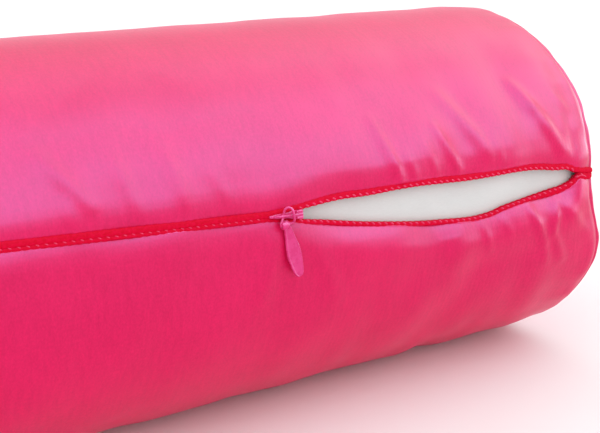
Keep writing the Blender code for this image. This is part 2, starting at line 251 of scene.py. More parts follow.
def cloth_uv(item, pairs):
    """Keeps each vertex's place on the flat cloth, in metres, for the weave."""
    layer = item.data.uv_layers.new(name="cloth")
    corners = np.zeros(len(item.data.loops), int)
    item.data.loops.foreach_get("vertex_index", corners)
    layer.data.foreach_set("uv", np.asarray(pairs, float)[corners].ravel())


def signed(angle):
    return (np.asarray(angle, float) + 180) % 360 - 180


def belly(x, angle):
    """Lift of the loose cloth that bellies out below the zip's right end."""
    turned = signed(angle)
    share = smooth_step((x - END_SEAM + BELLY_LONG) / BELLY_LONG)
    share = share * (1 - smooth_step((turned - BELLY_TOP) / BELLY_FADE))
    return BELLY_HIGH * share * np.exp(-(((turned - BELLY_ANGLE) / BELLY_WIDE) ** 2))


# ---- The two lips of the zip -----------------------------------------------------------------


WORDS = {1: "upper", -1: "lower"}


def cad_lip(side):
    """(x, distance off the zip line) of a lip's free edge, from the CAD tape."""
    points = coordinates(frame["nodes"]["zip_tape_" + WORDS[side]])
    angles = np.degrees(np.arctan2(points[:, 2] - AXIS_Z, -points[:, 1]))
    off = side * np.radians(angles - zip_angle(points[:, 0])) * RADIUS
    stations = np.unique(np.round(points[:, 0], 4))
    return [(x, off[np.abs(points[:, 0] - x) < 1e-4].min()) for x in stations]


LIPS = {side: cad_lip(side) for side in WORDS}


def slit_share(x):
    """1 where the zip runs, falling to 0 just past both of its ends, where a plain seam goes on."""
    x = np.asarray(x, float)
    return smooth_step((x - SLIT_START + 0.004) / 0.006) * smooth_step((END_SEAM + 0.002 - x) / 0.003)


def parted(x, side, reach):
    """0 where the zip is shut, rising to 1 where a lip stands reach off its shut place."""
    return smooth_step((smooth_through(LIPS[side], x) - CLOSED_GAP) / reach)


def lip_gap(x, side):
    """Distance off the zip line of a lip's free edge: nothing where the zip is shut."""
    gap = smooth_through(LIPS[side], x) - CLOSED_GAP * (1 - parted(x, side, 0.0025))
    gap = np.maximum(gap + smooth_through(LIP_TRIM[side], x), 0.0)
    overlap = CLOSED_OVERLAP * (1 - parted(x, side, 0.0015)) * (side > 0)
    return (gap - overlap) * slit_share(x) + LEAST_GAP


def lip_reveal(x, side):
    """Width of the zip's rolled tape that shows between the mouth and the cloth."""
    shown = OPEN_REVEAL[side] + 0.0012 * (side < 0) * smooth_step((np.asarray(x) - 0.155) / 0.02)
    return (CLOSED_REVEAL[side] + parted(x, side, 0.0025) * (shown - CLOSED_REVEAL[side])) * slit_share(x)


def lip_sink(x, side):
    """How far the zip's edge lies in from the barrel's round form: the lower lip hangs back."""
    level_at_end = 1 - smooth_step((np.asarray(x, float) - 0.178) / 0.012)
    return LIP_SINK * parted(x, side, 0.004) * level_at_end * (side < 0)


def lip_line(x, side, beyond=0.0, lift=0.0):
    """Points that run along a lip: beyond is away from the mouth, from the lip's free edge."""
    angle = zip_angle(x) + side * np.degrees((lip_gap(x, side) + beyond) / RADIUS)
    return barrel(x, angle, lift - lip_sink(x, side) + belly(x, angle))


def parting(x, side):
    """How far a lip follows its body: 1 is the body's whole travel, which shuts the widest gap."""
    return np.maximum(lip_gap(x, side) - LEAST_GAP, 0.0) / (RADIUS * LIP_TURN)


def follow_lip(item, weights):
    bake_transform(item)


# ---- Materials -------------------------------------------------------------------------------

SATEEN_DARK = (0.62, 0.003, 0.066)
SATEEN_LIGHT = (0.76, 0.007, 0.092)
SATEEN_ROUGH = 0.35


def new_material(name, **sockets):
    material = bpy.data.materials.new(name)
    material.use_nodes = True
    shader = material.node_tree.nodes["Principled BSDF"]
    for socket, value in sockets.items():
        shader.inputs[socket.replace("_", " ")].default_value = value
    return material, material.node_tree, shader


def add_node(tree, kind, inputs=None, **settings):
    """A shader node; inputs are numbers or other nodes' sockets, by name or by place."""
    made = tree.nodes.new(kind)
    for name, value in settings.items():
        setattr(made, name, value)
    for name, value in (inputs or {}).items():
        if isinstance(value, bpy.types.NodeSocket):
            tree.links.new(value, made.inputs[name])
        else:
            made.inputs[name].default_value = value
    return made


def scaled(tree, vector, scale):
    mapped = add_node(tree, "ShaderNodeMapping", {"Vector": vector, "Scale": scale})
    return mapped.outputs["Vector"]


def noise(tree, vector, scale, detail=2.0, rough=0.5):
    values = {"Vector": vector, "Scale": scale, "Detail": detail, "Roughness": rough}
    return add_node(tree, "ShaderNodeTexNoise", values).outputs["Fac"]


def maths(tree, kind, a, b):
    return add_node(tree, "ShaderNodeMath", {0: a, 1: b}, operation=kind).outputs[0]


def ramp(tree, value, stops):
    """A colour ramp; stops are (position, colour) with colours as RGBA or one grey value."""
    made = add_node(tree, "ShaderNodeValToRGB", {"Fac": value})
    while len(made.color_ramp.elements) < len(stops):
        made.color_ramp.elements.new(0.5)
    for element, (position, colour) in zip(made.color_ramp.elements, stops):
        element.position = position
        element.color = colour if isinstance(colour, tuple) else (colour, colour, colour, 1.0)
    return made.outputs["Color"]


def paint(tree, shader, value, dark, light, low=0.3, high=0.7):
    """Base colour that runs from dark to light as a value rises from low to high."""
    colour = ramp(tree, value, [(low, (*dark, 1.0)), (high, (*light, 1.0))])
    tree.links.new(colour, shader.inputs["Base Color"])


def bump(tree, shader, height, distance, strength):
    made = add_node(
        tree, "ShaderNodeBump", {"Height": height, "Distance": distance, "Strength": strength},
    )
    tree.links.new(made.outputs["Normal"], shader.inputs["Normal"])


def threads(tree, cloth, along, stretch, per_thread):
    """Slightly wandering parallel threads, as bands across one axis of the cloth."""
    values = {
        "Vector": scaled(tree, cloth, stretch), "Scale": per_thread, "Distortion": 1.2, "Detail": 1.0,
        "Detail Scale": 2.0,
    }
    waves = add_node(tree, "ShaderNodeTexWave", values, wave_type="BANDS", bands_direction=along)
    return waves.outputs["Fac"]


def weave_height(tree, cloth, thread):
    """Over-and-under threads of a plain or sateen weave, thread metres apart."""
    across = threads(tree, cloth, "X", (1.0, 0.12, 1.0), 0.05 / thread)
    down = threads(tree, cloth, "Y", (0.12, 1.0, 1.0), 0.035 / thread)
    return maths(tree, "ADD", across, maths(tree, "MULTIPLY", down, 0.6))


def make_sateen():
    """Pink cotton sateen: deep red-pink threads with a cool lilac gloss and fine short slubs."""
    material, tree, shader = new_material(
        "sateen", Roughness=SATEEN_ROUGH, Specular_IOR_Level=0.36, Specular_Tint=(0.05, 0.44, 1.0, 1.0),
    )
    cloth = add_node(tree, "ShaderNodeUVMap", uv_map="cloth").outputs["UV"]
    fine = noise(tree, scaled(tree, cloth, (1500.0, 900.0, 1.0)), 1.0, 2.0, 0.6)
    slubs = noise(tree, scaled(tree, cloth, (520.0, 150.0, 1.0)), 1.0, 2.0, 0.55)
    clouds = noise(tree, cloth, 30.0, 2.0, 0.5)
    blend = maths(tree, "ADD", maths(tree, "MULTIPLY", fine, 0.45), maths(tree, "MULTIPLY", slubs, 0.3))
    blend = maths(tree, "ADD", blend, maths(tree, "MULTIPLY", clouds, 0.25))
    paint(tree, shader, blend, SATEEN_DARK, SATEEN_LIGHT, 0.36, 0.64)
    height = maths(tree, "ADD", weave_height(tree, cloth, 0.00032), maths(tree, "MULTIPLY", slubs, 0.8))
    bump(tree, shader, height, 0.00003, 0.30)
    return material


def make_tape():
    material, tree, shader = new_material("rolled_tape", Roughness=0.7, Specular_IOR_Level=0.02)
    cloth = add_node(tree, "ShaderNodeUVMap", uv_map="cloth").outputs["UV"]
    grain = noise(tree, scaled(tree, cloth, (900.0, 1600.0, 1.0)), 1.0, 2.0, 0.6)
    paint(tree, shader, grain, (0.58, 0.001, 0.020), (0.70, 0.002, 0.042))
    bump(tree, shader, weave_height(tree, cloth, 0.0003), 0.00006, 0.5)
    return material


def grained(name, grain, dark, light, relief, **sockets):
    """A material whose grain (scale, detail, roughness) gives both its colour and its relief."""
    material, tree, shader = new_material(name, **sockets)
    place = add_node(tree, "ShaderNodeTexCoord").outputs["Object"]
    grains = noise(tree, place, *grain)
    paint(tree, shader, grains, dark, light)
    bump(tree, shader, grains, *relief)
    return material


def make_thread():
    return grained(
        "sewing_thread", (4000.0, 2.0), (0.66, 0.014, 0.085), (0.78, 0.040, 0.140), (0.00005, 0.4),
        Roughness=0.5, Specular_IOR_Level=0.15,
    )


def make_coil():
    return grained(
        "coil_nylon", (900.0, 2.0), (0.50, 0.004, 0.018), (0.66, 0.008, 0.036), (0.00003, 0.3),
        Roughness=0.45, Specular_IOR_Level=0.15,
    )


def make_fibre():
    return grained(
        "filling_fibre", (160.0, 6.0, 0.7), (0.76, 0.73, 0.66), (0.88, 0.86, 0.80), (0.0008, 0.6),
        Roughness=0.95, Specular_IOR_Level=0.1,
    )


def make_lacquer():
    """Pink gloss lacquer over cast metal, with a painted highlight: lighter lilac-pink along its convex
    edges.
    """
    material, tree, shader = new_material(
        "pink_lacquer", Roughness=0.34, Specular_IOR_Level=0.4, Specular_Tint=(0.5, 0.6, 1.0, 1.0),
    )
    place = add_node(tree, "ShaderNodeTexCoord").outputs["Object"]
    cloud = noise(tree, place, 420.0, 3.0)
    specks = noise(tree, place, 3200.0, 1.0)
    convexity = add_node(tree, "ShaderNodeNewGeometry").outputs["Pointiness"]
    colour = ramp(tree, cloud, [(0.3, (0.66, 0.024, 0.155, 1.0)), (0.7, (0.72, 0.036, 0.195, 1.0))])
    # painted highlight: convex edges, read from pointiness, mix towards a lighter lilac-pink
    edge = ramp(tree, convexity, [(0.52, 0.0), (0.60, 0.45)])
    values = {"Factor": edge, 6: colour, 7: (0.78, 0.10, 0.32, 1.0)}
    mixed = add_node(tree, "ShaderNodeMix", values, data_type="RGBA")
    tree.links.new(mixed.outputs[2], shader.inputs["Base Color"])
    rough = ramp(tree, cloud, [(0.3, 0.22), (0.7, 0.36)])
    tree.links.new(rough, shader.inputs["Roughness"])
    bump(tree, shader, specks, 0.00002, 0.25)
    return material


def make_cotton():
    material, tree, shader = new_material(
        "white_cotton", Roughness=0.85, Specular_IOR_Level=0.2, Sheen_Weight=0.15,
    )
    place = add_node(tree, "ShaderNodeTexCoord").outputs["Object"]
    cloud = noise(tree, place, 45.0, 3.0, 0.6)
    fibres = noise(tree, scaled(tree, place, (600.0, 2600.0, 2600.0)), 1.0, 2.0, 0.6)
    blend = maths(tree, "ADD", maths(tree, "MULTIPLY", cloud, 0.6), maths(tree, "MULTIPLY", fibres, 0.4))
    paint(tree, shader, blend, (0.60, 0.605, 0.60), (0.67, 0.675, 0.67))
    bump(tree, shader, fibres, 0.00008, 0.35)
    return material


# ---- Cloth simulation ------------------------------------------------------------------------

CLOTH = {
    "quality": 4, "mass": 0.2, "tension_stiffness": 12, "compression_stiffness": 12,
    "shear_stiffness": 4, "bending_stiffness": 0.15, "vertex_group_mass": "held",
    "vertex_group_shrink": "slack", "shrink_min": 0.0, "use_pressure": True,
}


def settle(item, held, loose, pressure, growth):
    """Blows item up as cloth with its held points fixed; the loose group's cloth is longer."""
    pins = item.vertex_groups.new(name="held")
    pins.add(held, 1.0, "REPLACE")
    slack = item.vertex_groups.new(name="slack")
    for index, share in enumerate(loose):
        slack.add([index], float(share), "REPLACE")
    cloth = item.modifiers.new("cloth", "CLOTH")
    for name, value in CLOTH.items():
        setattr(cloth.settings, name, value)
    cloth.settings.shrink_max = -growth
    cloth.settings.uniform_pressure_force = pressure
    cloth.settings.effector_weights.gravity = 0.0
    cloth.collision_settings.use_collision = False
    scene = bpy.context.scene
    for number in range(1, BLOW_FRAMES + 1):
        scene.frame_set(number)
    shaped = coordinates(item.evaluated_get(bpy.context.evaluated_depsgraph_get()))
    item.modifiers.remove(cloth)
    scene.frame_set(1)
    return shaped


def capped(moves, most):
    """Shortens moves smoothly so that none is longer than most."""
    length = np.linalg.norm(moves, axis=-1, keepdims=True)
    return moves * most * np.tanh(length / most) / np.maximum(length, 1e-9)


def blurred(grid):
    """Softens a field along both directions of its grid, keeping the edge rows."""
    soft = grid.copy()
    soft[1:-1, 1:-1] = 0.5 * grid[1:-1, 1:-1] + 0.125 * (
        grid[:-2, 1:-1] + grid[2:, 1:-1] + grid[1:-1, :-2] + grid[1:-1, 2:]
    )
    return soft


# ---- Cover barrel ----------------------------------------------------------------------------


def cloth_edge(x, side):
    """Angle at which the cover's cloth turns in beside the zip."""
    beyond = lip_gap(x, side) + lip_reveal(x, side) + EDGE_ROLL[side]
    return zip_angle(x) + side * np.degrees(beyond / RADIUS)


def around(x, shares_over, shares_under):
    """Angles of each station's rows: over the top to the underside, and on to the lower lip."""
    first, last = cloth_edge(x, 1)[:, None], 360 + cloth_edge(x, -1)[:, None]
    over = first + (270 - first) * shares_over[None, :]
    under = 270 + (last - 270) * shares_under[None, :]
    return np.concatenate((over, under[:, 1:]), axis=1)


def shares(arc, zone=0.008):
    """Row places from 0 to 1 along an arc, close together within a zone at its start."""
    places = graded(0.0, arc, FINE, SEAM_FINE, zone)
    tail = places[places > arc - zone - FINE]
    count = max(1, round((arc - tail[0]) / FINE))
    return np.concatenate((places[places < tail[0]], np.linspace(tail[0], arc, count + 1))) / arc


# The cloth swells beside an open lip: (metres to rise, to stay, to fall), and its height
LIP_RIDGE = {1: (0.0080, 0.0010, 0.024, 0.0011), -1: (0.011, 0.0005, 0.012, 0.0011)}
HEM_STEP = 0.00018
HEM_WIDE = 0.0075
HEM_FADE = 0.0060
GATHER_HIGH = 0.00028

# Folds that the cloth holds: (x, metres above the zip line) at both ends, half width, height
FOLDS = (
    ((0.0880, 0.0330), (0.0900, 0.0230), 0.0020, 0.00060),
    ((0.0900, 0.0230), (0.0950, 0.0060), 0.0019, 0.00105),
    ((0.0985, 0.0180), (0.1030, 0.0050), 0.0016, 0.00045),
    ((0.1085, 0.0200), (0.1130, 0.0070), 0.0015, 0.00040),
    ((0.1150, 0.0280), (0.1230, 0.0100), 0.0019, 0.00100),
    ((0.1240, 0.0400), (0.1385, 0.0150), 0.0034, 0.00125),
    ((0.1420, 0.0230), (0.1450, 0.0110), 0.0018, 0.00040),
    ((0.1620, 0.0450), (0.1665, 0.0330), 0.0026, 0.00135),
    ((0.1665, 0.0330), (0.1780, 0.0120), 0.0027, 0.00155),
    ((0.1800, 0.0370), (0.1850, 0.0280), 0.0014, 0.00060),
    ((0.1590, -0.0080), (0.1660, -0.0240), 0.0018, 0.00120),
    ((0.1660, -0.0240), (0.1680, -0.0330), 0.0018, 0.00070),
    ((0.1735, -0.0080), (0.1700, -0.0200), 0.0017, 0.00115),
    ((0.1700, -0.0200), (0.1760, -0.0340), 0.0020, 0.00105),
    ((0.1770, -0.0085), (0.1890, -0.0280), 0.0026, 0.00090),
    ((0.1340, -0.0120), (0.1385, -0.0240), 0.0015, 0.00045),
    ((0.1450, -0.0120), (0.1490, -0.0190), 0.0014, 0.00040),
    ((0.1080, -0.0185), (0.1220, -0.0165), 0.0010, 0.00025),
    ((0.0560, -0.0150), (0.0660, -0.0330), 0.0036, 0.00075),
    ((0.0380, -0.0100), (0.0330, -0.0300), 0.0036, 0.00080),
    ((-0.0400, 0.0280), (-0.0270, 0.0100), 0.0030, 0.00095),
    ((-0.0340, 0.0120), (-0.0330, 0.0020), 0.0024, 0.00050),
    ((-0.0150, 0.0240), (-0.0110, 0.0060), 0.0026, 0.00070),
    ((0.0030, 0.0260), (0.0060, 0.0080), 0.0028, 0.00070),
    ((0.0180, 0.0180), (0.0230, 0.0060), 0.0026, 0.00035),
)


def fold_lift(x, arc, start, end, wide, high):
    """A soft ridge between two places on the cloth, fading at both of its ends."""
    dx, da = end[0] - start[0], end[1] - start[1]
    along = ((x - start[0]) * dx + (arc - start[1]) * da) / (dx * dx + da * da)
    near = np.clip(along, 0.0, 1.0)
    off = np.hypot(x - start[0] - near * dx, arc - start[1] - near * da)
    return high * np.exp(-((off / wide) ** 2)) * (1.0 - 0.45 * np.abs(2 * near - 1) ** 2)


def ripples(x, angle):
    """Low, uneven waves in the cloth, stronger towards the right end where it is loosest."""
    chance = np.random.default_rng(11)
    turn = np.radians(angle)
    waves = np.zeros_like(x)
    for _ in range(16):
        length = chance.uniform(0.014, 0.050)
        around_count = int(chance.integers(-9, 10))
        phase = chance.uniform(0, 2 * pi)
        waves += length / 0.05 * np.sin(2 * pi * x / length + around_count * turn + phase)
    high = 0.00011 + 0.00009 * smooth_step((x - 0.03) / 0.10)
    loose = 1 - 0.85 * np.exp(-(((angle - 84.0) / 34.0) ** 2))
    return waves * high * loose * smooth_step((END_SEAM - np.abs(x)) / 0.01)


def lip_lift(x, arc, side):
    """Lift of the cloth beside a lip: it dips to the zip, swells where open, and is hemmed."""
    off = side * arc
    beyond = np.where(off >= 0, off - lip_gap(x, side) - lip_reveal(x, side), 1.0)
    open_share = parted(x, side, 0.004)
    deep = 0.0008 - 0.0003 * open_share * (side > 0) + lip_sink(x, side)
    wide = 0.0065 - 0.0025 * open_share if side > 0 else 0.008 + 0.003 * open_share
    dip = deep * np.clip(1 - beyond / wide, 0, 1) ** 2
    rise, stay, fall, high = LIP_RIDGE[side]
    ridge = smooth_step(beyond / rise) * (1 - smooth_step((beyond - rise - stay) / fall))
    loose = smooth_step((x - 0.145) / 0.02)
    swell = open_share if side > 0 else np.maximum(open_share, loose) * (1 + 0.2 * loose)
    swell = swell * smooth_step((END_SEAM - np.abs(x)) / 0.018)
    hem = HEM_STEP * (1 - smooth_step((beyond - HEM_WIDE) / HEM_FADE)) * slit_share(x)
    return high * swell * ridge + hem - dip


def gathers(x, angle):
    """Small waves where the barrel's cloth is gathered into its end seams."""
    from_seam = END_SEAM - np.abs(x)
    turn = np.radians(angle)
    waves = np.sin(17 * turn + 1.3 * np.sign(x)) + 0.8 * np.sin(29 * turn + 0.7)
    waves += 0.6 * np.sin(43 * turn + 2.1)
    return GATHER_HIGH * waves * np.exp(-from_seam / 0.010) * smooth_step(from_seam / 0.003)


def sculpted_lift(x, angle):
    """Lift of the cloth where it is sewn, folded or gathered, at each grid point."""
    above = np.where(angle > 180 + ZIP_ANGLE, angle - 360, angle) - zip_angle(x)
    arc = np.radians(above) * RADIUS
    lift = lip_lift(x, arc, 1) + lip_lift(x, arc, -1)
    for start, end, wide, high in FOLDS:
        lift += fold_lift(x, arc, start, end, wide, high)
    lift += belly(x, angle) + ripples(x, angle) + gathers(x, angle)
    return lift - SEAM_DIP * np.clip(1 - (END_SEAM - np.abs(x)) / SEAM_WIDE, 0, 1) ** 2


def seam_shift(x, angle):
    """How far the cloth stands out along X towards the right end's seam."""
    fade = smooth_step((x - END_SEAM + 0.045) / 0.045)
    return smooth_through(SEAM_STANDS_OUT, signed(angle)) * fade


def blown_cover(material):
    """Moves of the cover's cloth over the pillow, on a coarse grid, by cloth simulation."""
    xs = np.linspace(-END_SEAM, END_SEAM, round(2 * END_SEAM / COARSE) + 1)
    over = np.linspace(0, 1, round(ARC_OVER / COARSE) + 1)
    under = np.linspace(0, 1, round(ARC_UNDER / COARSE) + 1)
    angle = around(xs, over, under)
    x = np.broadcast_to(xs[:, None], angle.shape)
    rough = 0.0002 * np.sin(61 * x * 10 + 3 * np.radians(angle)) * np.cos(23 * np.radians(angle) + 40 * x)
    points = barrel(x, angle, rough)
    rows, columns = angle.shape
    item = add_mesh("cover_cloth", points.reshape(-1, 3), grid_faces(rows, columns), material)
    index = np.arange(rows * columns).reshape(rows, columns)
    bottom = np.abs(angle - 270) < 12
    held = np.unique(np.concatenate((index[0], index[-1], index[:, 0], index[:, -1], index[bottom])))
    from_end = END_SEAM - np.abs(x)
    beside = np.minimum(angle - angle[:, :1], angle[:, -1:] - angle) * pi / 180 * RADIUS
    loose = 0.35 + 0.65 * np.exp(-np.minimum(from_end, beside) / 0.015)
    moved = settle(item, held.tolist(), loose.ravel(), pressure=3.0, growth=0.035)
    moves = capped(moved.reshape(rows, columns, 3) - points, CLOTH_CAP)
    bpy.data.objects.remove(item, do_unlink=True)
    return xs, over, under, blurred(moves)


def resampled(field, old_rows, old_columns, rows, columns):
    """Cubic reading of a field's grid at new row and column places."""
    field = cubic(old_rows, field, rows)
    return np.swapaxes(cubic(old_columns, np.swapaxes(field, 0, 1), columns), 0, 1)


def tucked_rows(edge, inner, x, side):
    """Rows of the cloth's turned-in edge, from its visible edge round and back underneath."""
    roll = EDGE_ROLL[side]
    angle = cloth_edge(x, side)
    out = outward(angle)
    toward = edge - inner
    toward -= out * np.sum(toward * out, axis=-1, keepdims=True)
    toward /= np.linalg.norm(toward, axis=-1, keepdims=True)
    rows = []
    for turn in (15, 30, 45, 60, 80, 100, 120, 145, 170):
        a = radians(turn)
        rows.append(edge + toward * roll * sin(a) - out * roll * (1 - cos(a)))
    last = rows[-1]
    for back in (0.0015, 0.004, 0.008):
        rows.append(last - toward * back - out * 0.0002)
    return rows


def make_barrel_piece(side, xs, part, turned, material):
    """One piece of the barrel's cloth, its rows counted away from the lip, its edge turned in."""
    tucked = tucked_rows(part[:, 0], part[:, 1], xs, side)
    grid = np.concatenate((np.stack(tucked[::-1], axis=1), part), axis=1)
    extra = len(tucked)
    faces = grid_faces(len(xs), grid.shape[1])
    if side < 0:
        faces = [face[::-1] for face in faces]
    item = add_mesh("cover_" + WORDS[side], grid.reshape(-1, 3), faces, material)
    turned = np.concatenate((np.repeat(turned[:, :1], extra, axis=1), turned), axis=1)
    arc = np.radians(turned) * RADIUS
    arc[:, :extra] -= side * 0.0006 * np.arange(extra, 0, -1)
    cloth_uv(item, np.stack((np.broadcast_to(xs[:, None], arc.shape), arc), axis=-1).reshape(-1, 2))
    fade = 1 - smooth_step(np.abs(turned - turned[:, :1]) / LIP_FADE)
    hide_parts("cover_barrel")
    follow_lip(item, (parting(xs, side)[:, None] * fade).ravel())


def make_cover(material):
    """The cover's barrel in two pieces, which meet on the flat that it rests on."""
    coarse_x, coarse_over, coarse_under, moves = blown_cover(material)
    xs = graded(-END_SEAM, END_SEAM, FINE, SEAM_FINE, 0.006)
    over, under = shares(ARC_OVER), shares(ARC_UNDER)
    under = 1 - under[::-1]
    angle = around(xs, over, under)
    x = np.broadcast_to(xs[:, None], angle.shape)
    old = np.concatenate((coarse_over, 1 + coarse_under[1:]))
    new = np.concatenate((over, 1 + under[1:]))
    move = resampled(moves, coarse_x, old, xs, new)
    points = barrel(x, angle, sculpted_lift(x, angle)) + move
    points[..., 0] += seam_shift(x, angle)
    points[..., 2] = np.maximum(points[..., 2], FLOOR)
    split = len(over) - 1
    make_barrel_piece(1, xs, points[:, : split + 1], angle[:, : split + 1], material)
    make_barrel_piece(-1, xs, points[:, split:][:, ::-1], angle[:, split:][:, ::-1], material)


# ---- End panels ------------------------------------------------------------------------------


def panel_rings(side, angles):
    """Rings of points of a puffed end panel, from its seam in towards its middle."""
    at_seam = np.full(len(angles), side * END_SEAM)
    rim = barrel(at_seam, angles, sculpted_lift(at_seam, angles))
    shift = seam_shift(at_seam, angles)
    centre = np.array((0.0, 0.0, AXIS_Z))
    flat = (rim - centre) * (0, 1, 1)
    length = np.linalg.norm(flat, axis=1)
    turn = np.radians(angles)
    waves = np.sin(19 * turn + side) + 0.7 * np.sin(31 * turn + 2.0) + 0.5 * np.sin(47 * turn + 0.4)
    near_seam = [0, 0.0004, 0.0009, 0.0016, 0.0025, 0.0036, 0.005, 0.007]
    rings = []
    for depth in np.concatenate((near_seam, np.linspace(0.0095, 0.070, 24))):
        proud = 0.0016 * np.exp(-(((depth - 0.0022) / 0.0018) ** 2)) * smooth_step(depth / 0.001)
        ring = centre + flat * ((length - depth + proud) / length)[:, None]
        bulge = PANEL_BULGE * (1 - np.exp(-depth / 0.0055)) * (1 - 0.25 * (depth / RADIUS))
        pucker = 0.0004 * waves * np.exp(-depth / 0.012) * smooth_step(depth / 0.003)
        ring[:, 0] = side * (END_SEAM + bulge + pucker) + shift * np.exp(-((depth / 0.03) ** 2))
        ring[:, 2] = np.maximum(ring[:, 2], FLOOR)
        rings.append(ring)
    return rings


def make_end_panel(side, material):
    """A round end that puffs out past the seam where it is sewn to the barrel."""
    word = "right" if side > 0 else "left"
    rings = panel_rings(side, np.linspace(0, 360, 321)[:-1] + ZIP_ANGLE)
    tip = np.array([[side * (END_SEAM + PANEL_BULGE * 0.78), 0, AXIS_Z]])
    count = len(rings[0])
    faces = grid_faces(len(rings), count, wrap=True)
    last = (len(rings) - 1) * count
    faces += [(last + j, len(rings) * count, last + (j + 1) % count) for j in range(count)]
    if side < 0:
        faces = [face[::-1] for face in faces]
    points = np.concatenate([*rings, tip])
    item = add_mesh("end_cover_" + word, points, faces, material)
    cloth_uv(item, points[:, 1:])
    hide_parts("end_panel_" + word)
    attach(item, "cover")


# ---- Inner pillow ----------------------------------------------------------------------------

# The white case: how far past the CAD barrel its rounded corner and its seam lie, how deep it is
CASE_PROUD = 0.0045
CASE_SEAM = 0.0091
CASE_ROUND = 0.0065
CASE_DEPTH = 0.0042
CASE_FLOOR = 0.0022
CASE_CAP = 0.0012
FILLING_DEPTH = 0.0085
FILLING_FLOOR = 0.006


def plain_case(cotton):
    """The case before it is blown: a closed tube with rounded corners and domed ends."""
    half = PILLOW_END + CASE_PROUD
    axis = np.array((0, 0, AXIS_Z))
    outline = barrel(0.0, np.linspace(0, 360, 97)[:-1], -CASE_DEPTH)
    outline[:, 2] = np.maximum(outline[:, 2], CASE_FLOOR + 0.001)
    corner = [(sin(radians(a)), 1 - 0.09 * (1 - cos(radians(a)))) for a in (15, 30, 45, 60, 75, 90)]
    dome = [(1 + 0.6 * (1 - (r / 0.91) ** 2), r) for r in (0.8, 0.6, 0.3)]
    stations = [(x, 1.0) for x in np.linspace(0, half, 35)]
    stations += [(half + CASE_ROUND * out, share) for out, share in corner + dome]
    stations = [(-x, share) for x, share in reversed(stations[1:])] + stations
    rings = [axis + share * (outline - axis) + (x, 0, 0) for x, share in stations]
    count = len(outline)
    faces = grid_faces(len(rings), count, wrap=True)
    faces.append(tuple(range(count)))
    faces.append(tuple(range(len(rings) * count - 1, (len(rings) - 1) * count - 1, -1)))
    return add_mesh("inner_pillow", np.concatenate(rings), faces, cotton)


def make_pillow(cotton):
    """The stuffed white case, blown tight as cloth and drawn in at its end seams."""
    item = plain_case(cotton)
    seam = PILLOW_END + CASE_SEAM
    remesh = item.modifiers.new("remesh", "REMESH")
    remesh.mode = "VOXEL"
    remesh.voxel_size = 0.005
    apply_modifiers(item)
    before = coordinates(item)
    from_seam = np.abs(np.abs(before[:, 0]) - seam)
    loose = 0.3 + 0.7 * np.exp(-from_seam / 0.02)
    held = np.nonzero(from_seam < 0.003)[0].tolist()
    after = settle(item, held, loose, pressure=4.0, growth=0.02)
    set_coordinates(item, before + capped(after - before, CASE_CAP))
    smooth = item.modifiers.new("smooth", "SUBSURF")
    smooth.levels = smooth.render_levels = 1
    apply_modifiers(item)
    points = coordinates(item)
    from_seam = np.abs(np.abs(points[:, 0]) - seam)
    inwards = outward(np.degrees(np.arctan2(points[:, 2] - AXIS_Z, -points[:, 1])))
    points -= inwards * (0.0007 * np.exp(-((from_seam / 0.002) ** 2)))[:, None]
    points[:, 2] = np.maximum(points[:, 2], CASE_FLOOR)
    set_coordinates(item, points)
    item.data.shade_smooth()
    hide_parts("pillow_barrel", "pillow_end_right", "pillow_end_left")
    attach(item, "cover")


def apply_modifiers(item):
    shaped = item.evaluated_get(bpy.context.evaluated_depsgraph_get())
    mesh = bpy.data.meshes.new_from_object(shaped)
    item.modifiers.clear()
    item.data = mesh


def make_filling(fibre):
    """The roll of fibre inside the pillow's case, lumpy as it is stuffed."""
    xs = np.linspace(-PILLOW_END + 0.002, PILLOW_END - 0.002, 60)
    angles = np.linspace(0, 360, 61)[:-1]
    x, angle = np.meshgrid(xs, angles, indexing="ij")
    lumps = 0.0006 * np.sin(90 * x + 2 * np.radians(angle)) * np.cos(5 * np.radians(angle) + 37 * x)
    points = barrel(x * 0.98, angle, lumps - FILLING_DEPTH)
    points[..., 2] = np.maximum(points[..., 2], FILLING_FLOOR)
    rows, columns = angle.shape
    ends = np.array([(-PILLOW_END + 0.001, 0, AXIS_Z), (PILLOW_END - 0.001, 0, AXIS_Z)])
    faces = grid_faces(rows, columns, wrap=True)
    start, last = rows * columns, (rows - 1) * columns
    faces += [(start, j, (j + 1) % columns) for j in range(columns)]
    faces += [(last + (j + 1) % columns, last + j, start + 1) for j in range(columns)]
    item = add_mesh("filling", np.concatenate((points.reshape(-1, 3), ends)), faces, fibre)
    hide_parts("filling_roll")
    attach(item, "cover")


# ---- Zip -------------------------------------------------------------------------------------


def tube(points, radius, sides):
    """Vertices and faces of a round wire through points; radius may change along it."""
    points = np.asarray(points, float)
    radii = np.broadcast_to(radius, len(points))
    tangents = np.gradient(points, axis=0)
    tangents /= np.linalg.norm(tangents, axis=1, keepdims=True)
    side = np.cross(tangents[0], (0.3, 0.5, 0.81))
    vertices, faces = [], []
    for i, (point, tangent, r) in enumerate(zip(points, tangents, radii)):
        side = side - tangent * np.dot(side, tangent)
        side /= np.linalg.norm(side)
        other = np.cross(tangent, side)
        for k in range(sides):
            a = 2 * pi * k / sides
            vertices.append(point + r * (cos(a) * side + sin(a) * other))
        if i:
            base = (i - 1) * sides
            for k in range(sides):
                m = (k + 1) % sides
                faces.append((base + k, base + m, base + sides + m, base + sides + k))
    faces.append(tuple(range(sides))[::-1])
    faces.append(tuple(range(len(vertices) - sides, len(vertices))))
    return vertices, faces


def joined(parts):
    """One vertex and face list out of several."""
    vertices, faces = [], []
    for more_vertices, more_faces in parts:
        start = len(vertices)
        vertices += list(more_vertices)
        faces += [tuple(start + v for v in face) for face in more_faces]
    return vertices, faces


